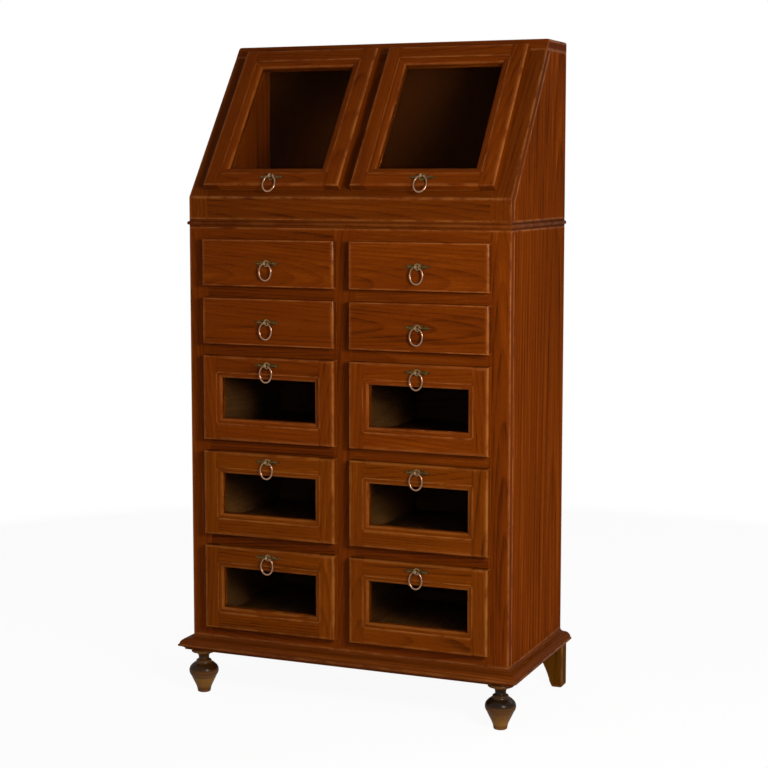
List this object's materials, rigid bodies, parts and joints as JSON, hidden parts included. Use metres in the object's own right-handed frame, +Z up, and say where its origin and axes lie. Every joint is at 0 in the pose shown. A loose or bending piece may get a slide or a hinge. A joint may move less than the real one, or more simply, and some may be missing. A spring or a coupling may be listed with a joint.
{
  "type": "kitchen hutch",
  "caption": "Tall wooden kitchen hutch: plain and glazed drawers with drop-ring pulls under a sloped top case with lift-up glazed doors, on turned front feet.",
  "frame": {"origin": "centre of the footprint, on the floor", "axes": "+Z up, +X to the right as seen from the front, -Y out of the front"},
  "size_m": [0.858, 0.4343, 1.558],
  "materials": {
    "walnut": "satin reddish-brown walnut stain with a clear varnish",
    "dark_walnut": "satin dark walnut stain with a clear varnish",
    "drawer_wood": "plain sanded wood with a thin sealer",
    "window_glass": "clear flat glass",
    "antique_bronze": "dark antiqued cast brass, rubbed lighter on its edges",
    "antique_brass": "antiqued brass, satin"
  },
  "bodies": {
    "case": {"base_moulding": "dark_walnut", "front_feet": "dark_walnut", "rear_legs": "dark_walnut", "lower_sides": "walnut", "lower_face_frame": "walnut", "centre_partition": "walnut", "case_bottom": "walnut", "drawer_runners": "drawer_wood", "back_panels": "dark_walnut", "waist_board": "dark_walnut", "upper_sides": "walnut", "upper_face_frame": "walnut", "top_board": "walnut", "case_hinge_leaves_and_stay_guides": "antique_brass"},
    "door_left": {"left_door": "walnut", "left_door_glass": "window_glass", "left_door_hinges_and_stay": "antique_brass", "left_door_pull": "antique_bronze"},
    "door_left_ring": {"left_door_ring": "antique_brass"},
    "drawer_left_1": {"left_drawer_1": "walnut", "left_drawer_1_pull": "antique_bronze"},
    "drawer_left_1_ring": {"left_drawer_1_ring": "antique_brass"},
    "drawer_left_2": {"left_drawer_2": "walnut", "left_drawer_2_pull": "antique_bronze"},
    "drawer_left_2_ring": {"left_drawer_2_ring": "antique_brass"},
    "drawer_left_3": {"left_drawer_3": "walnut", "left_drawer_3_glass": "window_glass", "left_drawer_3_pull": "antique_bronze"},
    "drawer_left_3_ring": {"left_drawer_3_ring": "antique_brass"},
    "drawer_left_4": {"left_drawer_4": "walnut", "left_drawer_4_glass": "window_glass", "left_drawer_4_pull": "antique_bronze"},
    "drawer_left_4_ring": {"left_drawer_4_ring": "antique_brass"},
    "drawer_left_5": {"left_drawer_5": "walnut", "left_drawer_5_glass": "window_glass", "left_drawer_5_pull": "antique_bronze"},
    "drawer_left_5_ring": {"left_drawer_5_ring": "antique_brass"},
    "door_right": {"right_door": "walnut", "right_door_glass": "window_glass", "right_door_hinges_and_stay": "antique_brass", "right_door_pull": "antique_bronze"},
    "door_right_ring": {"right_door_ring": "antique_brass"},
    "drawer_right_1": {"right_drawer_1": "walnut", "right_drawer_1_pull": "antique_bronze"},
    "drawer_right_1_ring": {"right_drawer_1_ring": "antique_brass"},
    "drawer_right_2": {"right_drawer_2": "walnut", "right_drawer_2_pull": "antique_bronze"},
    "drawer_right_2_ring": {"right_drawer_2_ring": "antique_brass"},
    "drawer_right_3": {"right_drawer_3": "walnut", "right_drawer_3_glass": "window_glass", "right_drawer_3_pull": "antique_bronze"},
    "drawer_right_3_ring": {"right_drawer_3_ring": "antique_brass"},
    "drawer_right_4": {"right_drawer_4": "walnut", "right_drawer_4_glass": "window_glass", "right_drawer_4_pull": "antique_bronze"},
    "drawer_right_4_ring": {"right_drawer_4_ring": "antique_brass"},
    "drawer_right_5": {"right_drawer_5": "walnut", "right_drawer_5_glass": "window_glass", "right_drawer_5_pull": "antique_bronze"},
    "drawer_right_5_ring": {"right_drawer_5_ring": "antique_brass"}
  },
  "joints": [
    {"name": "door_left_lift", "type": "hinge", "parent": "case", "child": "door_left", "pos_m": [-0.1875, 0.06744, 1.53675], "axis": [-1, 0, 0], "range_deg": [0, 85]},
    {"name": "door_left_ring_swing", "type": "hinge", "parent": "door_left", "child": "door_left_ring", "pos_m": [-0.1875, -0.18232, 1.24439], "axis": [-1, 0, 0], "range_deg": [0, 80]},
    {"name": "drawer_left_1_slide", "type": "slide", "parent": "case", "child": "drawer_left_1", "axis": [0, -1, 0], "range_m": [0, 0.28]},
    {"name": "drawer_left_1_ring_swing", "type": "hinge", "parent": "drawer_left_1", "child": "drawer_left_1_ring", "pos_m": [-0.1875, -0.21215, 1.042], "axis": [-1, 0, 0], "range_deg": [-6, 80]},
    {"name": "drawer_left_2_slide", "type": "slide", "parent": "case", "child": "drawer_left_2", "axis": [0, -1, 0], "range_m": [0, 0.28]},
    {"name": "drawer_left_2_ring_swing", "type": "hinge", "parent": "drawer_left_2", "child": "drawer_left_2_ring", "pos_m": [-0.1875, -0.21215, 0.905], "axis": [-1, 0, 0], "range_deg": [-6, 80]},
    {"name": "drawer_left_3_slide", "type": "slide", "parent": "case", "child": "drawer_left_3", "axis": [0, -1, 0], "range_m": [0, 0.28]},
    {"name": "drawer_left_3_ring_swing", "type": "hinge", "parent": "drawer_left_3", "child": "drawer_left_3_ring", "pos_m": [-0.1875, -0.21215, 0.805], "axis": [-1, 0, 0], "range_deg": [-6, 80]},
    {"name": "drawer_left_4_slide", "type": "slide", "parent": "case", "child": "drawer_left_4", "axis": [0, -1, 0], "range_m": [0, 0.28]},
    {"name": "drawer_left_4_ring_swing", "type": "hinge", "parent": "drawer_left_4", "child": "drawer_left_4_ring", "pos_m": [-0.1875, -0.21215, 0.578], "axis": [-1, 0, 0], "range_deg": [-6, 80]},
    {"name": "drawer_left_5_slide", "type": "slide", "parent": "case", "child": "drawer_left_5", "axis": [0, -1, 0], "range_m": [0, 0.28]},
    {"name": "drawer_left_5_ring_swing", "type": "hinge", "parent": "drawer_left_5", "child": "drawer_left_5_ring", "pos_m": [-0.1875, -0.21215, 0.351], "axis": [-1, 0, 0], "range_deg": [-6, 80]},
    {"name": "door_right_lift", "type": "hinge", "parent": "case", "child": "door_right", "pos_m": [0.1875, 0.06744, 1.53675], "axis": [-1, 0, 0], "range_deg": [0, 85]},
    {"name": "door_right_ring_swing", "type": "hinge", "parent": "door_right", "child": "door_right_ring", "pos_m": [0.1875, -0.18232, 1.24439], "axis": [-1, 0, 0], "range_deg": [0, 80]},
    {"name": "drawer_right_1_slide", "type": "slide", "parent": "case", "child": "drawer_right_1", "axis": [0, -1, 0], "range_m": [0, 0.28]},
    {"name": "drawer_right_1_ring_swing", "type": "hinge", "parent": "drawer_right_1", "child": "drawer_right_1_ring", "pos_m": [0.1875, -0.21215, 1.042], "axis": [-1, 0, 0], "range_deg": [-6, 80]},
    {"name": "drawer_right_2_slide", "type": "slide", "parent": "case", "child": "drawer_right_2", "axis": [0, -1, 0], "range_m": [0, 0.28]},
    {"name": "drawer_right_2_ring_swing", "type": "hinge", "parent": "drawer_right_2", "child": "drawer_right_2_ring", "pos_m": [0.1875, -0.21215, 0.905], "axis": [-1, 0, 0], "range_deg": [-6, 80]},
    {"name": "drawer_right_3_slide", "type": "slide", "parent": "case", "child": "drawer_right_3", "axis": [0, -1, 0], "range_m": [0, 0.28]},
    {"name": "drawer_right_3_ring_swing", "type": "hinge", "parent": "drawer_right_3", "child": "drawer_right_3_ring", "pos_m": [0.1875, -0.21215, 0.805], "axis": [-1, 0, 0], "range_deg": [-6, 80]},
    {"name": "drawer_right_4_slide", "type": "slide", "parent": "case", "child": "drawer_right_4", "axis": [0, -1, 0], "range_m": [0, 0.28]},
    {"name": "drawer_right_4_ring_swing", "type": "hinge", "parent": "drawer_right_4", "child": "drawer_right_4_ring", "pos_m": [0.1875, -0.21215, 0.578], "axis": [-1, 0, 0], "range_deg": [-6, 80]},
    {"name": "drawer_right_5_slide", "type": "slide", "parent": "case", "child": "drawer_right_5", "axis": [0, -1, 0], "range_m": [0, 0.28]},
    {"name": "drawer_right_5_ring_swing", "type": "hinge", "parent": "drawer_right_5", "child": "drawer_right_5_ring", "pos_m": [0.1875, -0.21215, 0.351], "axis": [-1, 0, 0], "range_deg": [-6, 80]}
  ]
}
